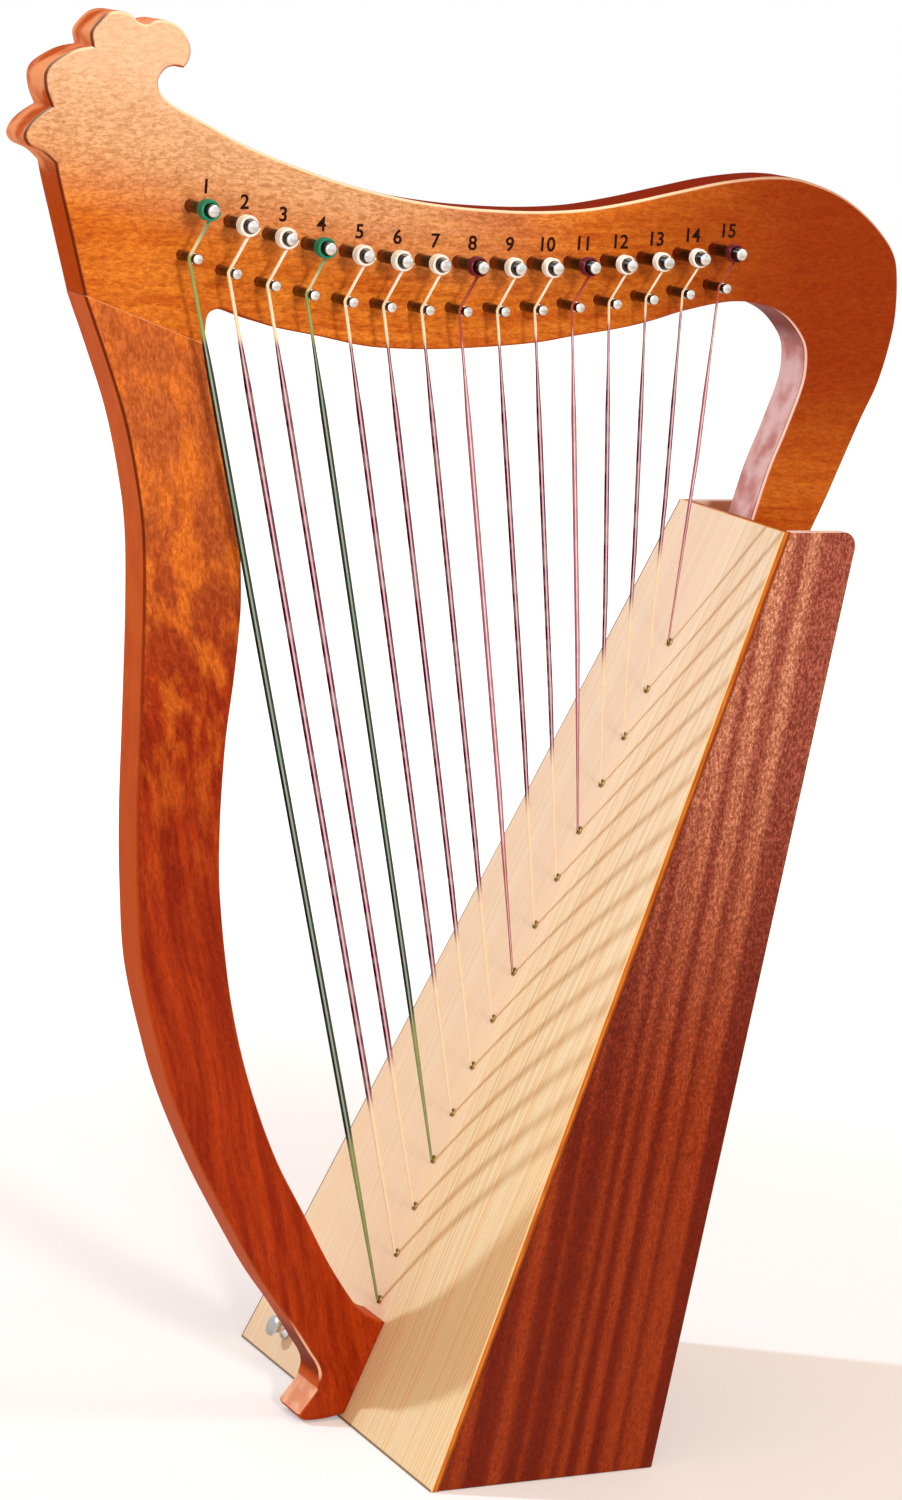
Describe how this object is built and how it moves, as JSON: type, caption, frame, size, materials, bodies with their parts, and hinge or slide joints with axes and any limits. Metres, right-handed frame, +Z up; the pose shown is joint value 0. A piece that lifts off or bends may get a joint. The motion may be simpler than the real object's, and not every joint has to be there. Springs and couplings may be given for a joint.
{
  "type": "lap harp",
  "caption": "Small wooden lap harp with one row of nylon strings, a carved mahogany head and neck, a curved pillar and a tapered soundbox.",
  "frame": {"origin": "centre of the bounding box at its lowest face, the base on its table", "axes": "+Z up; +X from the pillar and the carved head towards the soundbox's back; -Y the side that the pins and strings' windings stand out on; the neck, pillar and strings lie along the XZ plane"},
  "size_m": [0.3876, 0.19, 0.5685],
  "materials": {
    "neck_wood": "satin lacquer, orange mahogany",
    "pillar_wood": "satin lacquer, red mahogany",
    "panel_wood": "satin lacquer, ribbon-striped sapele",
    "soundboard_wood": "matt lacquer, straight-grained spruce",
    "inner_wood": "bare, fine sanded",
    "pin_nickel": "polished nickel",
    "screw_steel": "plain",
    "string_clear": "smooth nylon, clear",
    "string_green": "smooth nylon, green",
    "string_red": "smooth nylon, red"
  },
  "bodies": {
    "harp": {"soundboard": "soundboard_wood", "left_side_panel": "panel_wood", "right_side_panel": "panel_wood", "back_panel": "panel_wood", "base_panel": "inner_wood", "top_block": "neck_wood", "string_rib": "inner_wood", "brace": "inner_wood", "foot_block": "inner_wood", "neck": "neck_wood", "pillar": "pillar_wood", "neck_dowel": "inner_wood", "shoulder_screw": "screw_steel", "foot_screw": "screw_steel", "strap_button": "pin_nickel", "bridge_pin_01": "pin_nickel", "bridge_pin_02": "pin_nickel", "bridge_pin_03": "pin_nickel", "bridge_pin_04": "pin_nickel", "bridge_pin_05": "pin_nickel", "bridge_pin_06": "pin_nickel", "bridge_pin_07": "pin_nickel", "bridge_pin_08": "pin_nickel", "bridge_pin_09": "pin_nickel", "bridge_pin_10": "pin_nickel", "bridge_pin_11": "pin_nickel", "bridge_pin_12": "pin_nickel", "bridge_pin_13": "pin_nickel", "bridge_pin_14": "pin_nickel", "bridge_pin_15": "pin_nickel", "string_01": "string_green", "string_02": "string_clear", "string_03": "string_clear", "string_04": "string_green", "string_05": "string_clear", "string_06": "string_clear", "string_07": "string_clear", "string_08": "string_red", "string_09": "string_clear", "string_10": "string_clear", "string_11": "string_red", "string_12": "string_clear", "string_13": "string_clear", "string_14": "string_clear", "string_15": "string_red"},
    "pin_01": {"tuning_pin_01": "pin_nickel"},
    "pin_02": {"tuning_pin_02": "pin_nickel"},
    "pin_03": {"tuning_pin_03": "pin_nickel"},
    "pin_04": {"tuning_pin_04": "pin_nickel"},
    "pin_05": {"tuning_pin_05": "pin_nickel"},
    "pin_06": {"tuning_pin_06": "pin_nickel"},
    "pin_07": {"tuning_pin_07": "pin_nickel"},
    "pin_08": {"tuning_pin_08": "pin_nickel"},
    "pin_09": {"tuning_pin_09": "pin_nickel"},
    "pin_10": {"tuning_pin_10": "pin_nickel"},
    "pin_11": {"tuning_pin_11": "pin_nickel"},
    "pin_12": {"tuning_pin_12": "pin_nickel"},
    "pin_13": {"tuning_pin_13": "pin_nickel"},
    "pin_14": {"tuning_pin_14": "pin_nickel"},
    "pin_15": {"tuning_pin_15": "pin_nickel"}
  },
  "joints": [
    {"name": "tuning_pin_01_turn", "type": "hinge", "parent": "harp", "child": "pin_01", "pos_m": [-0.12527, -0.0105, 0.497], "axis": [0, -1, 0], "continuous": true},
    {"name": "tuning_pin_02_turn", "type": "hinge", "parent": "harp", "child": "pin_02", "pos_m": [-0.10887, -0.0105, 0.49156], "axis": [0, -1, 0], "continuous": true},
    {"name": "tuning_pin_03_turn", "type": "hinge", "parent": "harp", "child": "pin_03", "pos_m": [-0.09247, -0.0105, 0.48728], "axis": [0, -1, 0], "continuous": true},
    {"name": "tuning_pin_04_turn", "type": "hinge", "parent": "harp", "child": "pin_04", "pos_m": [-0.07607, -0.0105, 0.48399], "axis": [0, -1, 0], "continuous": true},
    {"name": "tuning_pin_05_turn", "type": "hinge", "parent": "harp", "child": "pin_05", "pos_m": [-0.05967, -0.0105, 0.48156], "axis": [0, -1, 0], "continuous": true},
    {"name": "tuning_pin_06_turn", "type": "hinge", "parent": "harp", "child": "pin_06", "pos_m": [-0.04327, -0.0105, 0.47987], "axis": [0, -1, 0], "continuous": true},
    {"name": "tuning_pin_07_turn", "type": "hinge", "parent": "harp", "child": "pin_07", "pos_m": [-0.02687, -0.0105, 0.4788], "axis": [0, -1, 0], "continuous": true},
    {"name": "tuning_pin_08_turn", "type": "hinge", "parent": "harp", "child": "pin_08", "pos_m": [-0.01047, -0.0105, 0.47829], "axis": [0, -1, 0], "continuous": true},
    {"name": "tuning_pin_09_turn", "type": "hinge", "parent": "harp", "child": "pin_09", "pos_m": [0.00593, -0.0105, 0.47824], "axis": [0, -1, 0], "continuous": true},
    {"name": "tuning_pin_10_turn", "type": "hinge", "parent": "harp", "child": "pin_10", "pos_m": [0.02233, -0.0105, 0.47862], "axis": [0, -1, 0], "continuous": true},
    {"name": "tuning_pin_11_turn", "type": "hinge", "parent": "harp", "child": "pin_11", "pos_m": [0.03873, -0.0105, 0.47938], "axis": [0, -1, 0], "continuous": true},
    {"name": "tuning_pin_12_turn", "type": "hinge", "parent": "harp", "child": "pin_12", "pos_m": [0.05513, -0.0105, 0.48051], "axis": [0, -1, 0], "continuous": true},
    {"name": "tuning_pin_13_turn", "type": "hinge", "parent": "harp", "child": "pin_13", "pos_m": [0.07153, -0.0105, 0.48201], "axis": [0, -1, 0], "continuous": true},
    {"name": "tuning_pin_14_turn", "type": "hinge", "parent": "harp", "child": "pin_14", "pos_m": [0.08793, -0.0105, 0.4839], "axis": [0, -1, 0], "continuous": true},
    {"name": "tuning_pin_15_turn", "type": "hinge", "parent": "harp", "child": "pin_15", "pos_m": [0.10433, -0.0105, 0.4862], "axis": [0, -1, 0], "continuous": true}
  ]
}
